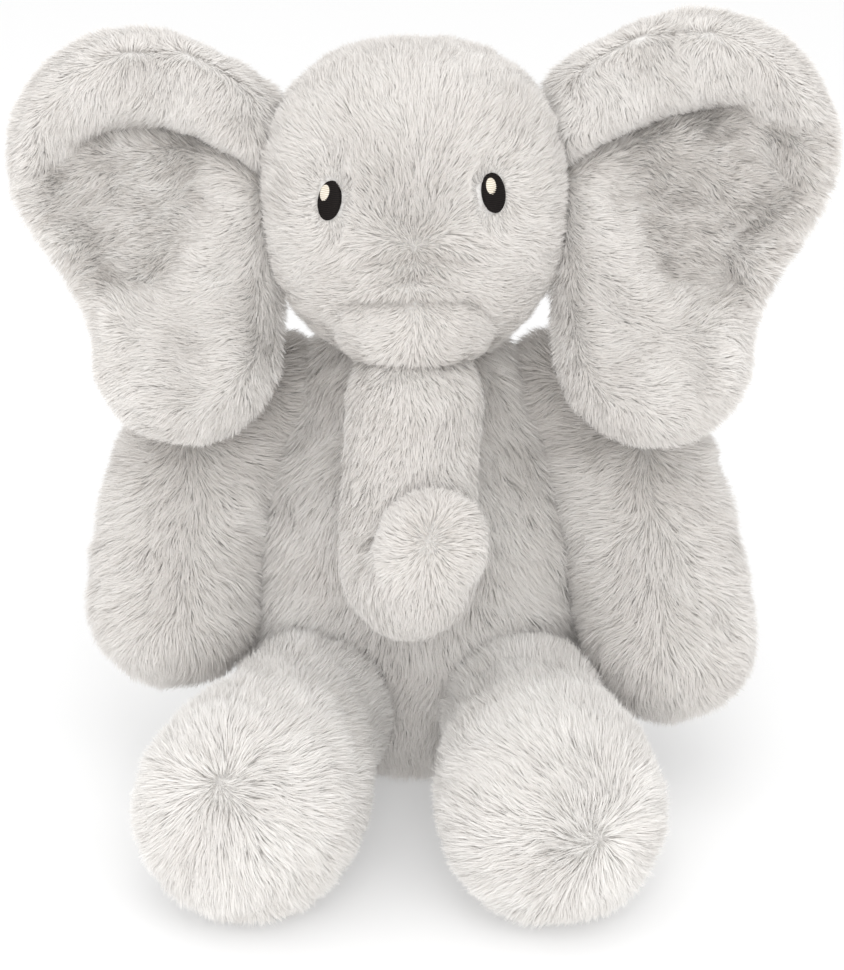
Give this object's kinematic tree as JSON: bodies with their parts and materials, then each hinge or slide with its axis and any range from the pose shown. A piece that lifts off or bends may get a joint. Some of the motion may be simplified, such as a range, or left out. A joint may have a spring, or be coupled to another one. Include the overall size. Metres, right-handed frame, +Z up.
{
  "type": "sitting plush elephant",
  "caption": "Soft long-pile toy elephant that sits with its feet forward, with big round ears, embroidered eyes and a trunk curled up at its tip",
  "frame": {"origin": "middle of the flat seat panel's underside, on the surface that the toy sits on", "axes": "+Z up, the toy faces -Y, and +X is the toy's own left side"},
  "size_m": [0.319, 0.2738, 0.2963],
  "materials": {
    "plush_cloth": "soft long-pile knitted plush in pale warm grey, combed and slightly clumped",
    "fibre_fill": "loose white polyester fibre filling",
    "dark_thread": "satin-stitched very dark brown embroidery thread with a low sheen",
    "pale_thread": "satin-stitched off-white embroidery thread",
    "seam_thread": "matt grey sewing thread"
  },
  "bodies": {
    "torso": {"belly_panel": "plush_cloth", "back_panel_right": "plush_cloth", "back_panel_left": "plush_cloth", "seat_panel": "plush_cloth", "body_fill": "fibre_fill"},
    "neck": {"neck_seam": "seam_thread"},
    "head": {"cheek_panel_right": "plush_cloth", "cheek_panel_left": "plush_cloth", "forehead_gusset": "plush_cloth", "chin_panel": "plush_cloth", "head_fill": "fibre_fill", "crease_stitch": "seam_thread", "eye_right": "dark_thread", "eye_left": "dark_thread", "eye_glint_right": "pale_thread", "eye_glint_left": "pale_thread"},
    "trunk": {"trunk_front_panel": "plush_cloth", "trunk_under_panel": "plush_cloth", "trunk_fill": "fibre_fill", "trunk_seam_stitch": "seam_thread"},
    "tail": {"tail_cord": "plush_cloth", "tail_tuft": "plush_cloth"},
    "ear_right": {"ear_front_right": "plush_cloth", "ear_back_right": "plush_cloth", "ear_fill_right": "fibre_fill"},
    "arm_root_right": {"arm_root_tab_right": "plush_cloth"},
    "arm_right": {"arm_front_right": "plush_cloth", "arm_back_right": "plush_cloth", "arm_fill_right": "fibre_fill"},
    "leg_root_right": {"leg_root_tab_right": "plush_cloth"},
    "leg_right": {"leg_top_right": "plush_cloth", "leg_under_right": "plush_cloth", "foot_sole_right": "plush_cloth", "leg_fill_right": "fibre_fill"},
    "ear_left": {"ear_front_left": "plush_cloth", "ear_back_left": "plush_cloth", "ear_fill_left": "fibre_fill"},
    "arm_root_left": {"arm_root_tab_left": "plush_cloth"},
    "arm_left": {"arm_front_left": "plush_cloth", "arm_back_left": "plush_cloth", "arm_fill_left": "fibre_fill"},
    "leg_root_left": {"leg_root_tab_left": "plush_cloth"},
    "leg_left": {"leg_top_left": "plush_cloth", "leg_under_left": "plush_cloth", "foot_sole_left": "plush_cloth", "leg_fill_left": "fibre_fill"}
  },
  "joints": [
    {"name": "neck_turn", "type": "hinge", "parent": "torso", "child": "neck", "pos_m": [0, 0.003, 0.183], "axis": [0, 0, 1], "range_deg": [-15, 15]},
    {"name": "head_nod", "type": "hinge", "parent": "neck", "child": "head", "pos_m": [0, 0, 0.184], "axis": [1, 0, 0], "range_deg": [-25, 7]},
    {"name": "trunk_lift", "type": "hinge", "parent": "head", "child": "trunk", "pos_m": [0, -0.0581, 0.17154], "axis": [-1, 0, 0], "range_deg": [-12, 75]},
    {"name": "ear_flap_right", "type": "hinge", "parent": "head", "child": "ear_right", "pos_m": [-0.058, -0.007, 0.2345], "axis": [0, -0.342, -0.9397], "range_deg": [-70, 25]},
    {"name": "ear_flap_left", "type": "hinge", "parent": "head", "child": "ear_left", "pos_m": [0.058, -0.007, 0.2345], "axis": [0, -0.342, -0.9397], "range_deg": [-25, 70]},
    {"name": "arm_swing_right", "type": "hinge", "parent": "torso", "child": "arm_root_right", "pos_m": [-0.058, 0.01, 0.14924], "axis": [-1, 0, 0], "range_deg": [-60, 24]},
    {"name": "arm_raise_right", "type": "hinge", "parent": "arm_root_right", "child": "arm_right", "pos_m": [-0.058, 0.01, 0.14924], "axis": [0, 1, 0], "range_deg": [-6, 45]},
    {"name": "arm_swing_left", "type": "hinge", "parent": "torso", "child": "arm_root_left", "pos_m": [0.058, 0.01, 0.14924], "axis": [-1, 0, 0], "range_deg": [-60, 24]},
    {"name": "arm_raise_left", "type": "hinge", "parent": "arm_root_left", "child": "arm_left", "pos_m": [0.058, 0.01, 0.14924], "axis": [0, -1, 0], "range_deg": [-6, 45]},
    {"name": "leg_swing_right", "type": "hinge", "parent": "torso", "child": "leg_root_right", "pos_m": [-0.045, -0.072, 0.04], "axis": [-1, 0, 0], "range_deg": [-70, 40]},
    {"name": "leg_splay_right", "type": "hinge", "parent": "leg_root_right", "child": "leg_right", "pos_m": [-0.045, -0.072, 0.04], "axis": [0, 0, -1], "range_deg": [-10, 35]},
    {"name": "leg_swing_left", "type": "hinge", "parent": "torso", "child": "leg_root_left", "pos_m": [0.045, -0.072, 0.04], "axis": [-1, 0, 0], "range_deg": [-70, 40]},
    {"name": "leg_splay_left", "type": "hinge", "parent": "leg_root_left", "child": "leg_left", "pos_m": [0.045, -0.072, 0.04], "axis": [0, 0, 1], "range_deg": [-10, 35]},
    {"name": "tail_wag", "type": "hinge", "parent": "torso", "child": "tail", "pos_m": [0, 0.062, 0.042], "axis": [0, 0, 1], "range_deg": [-60, 60]}
  ]
}
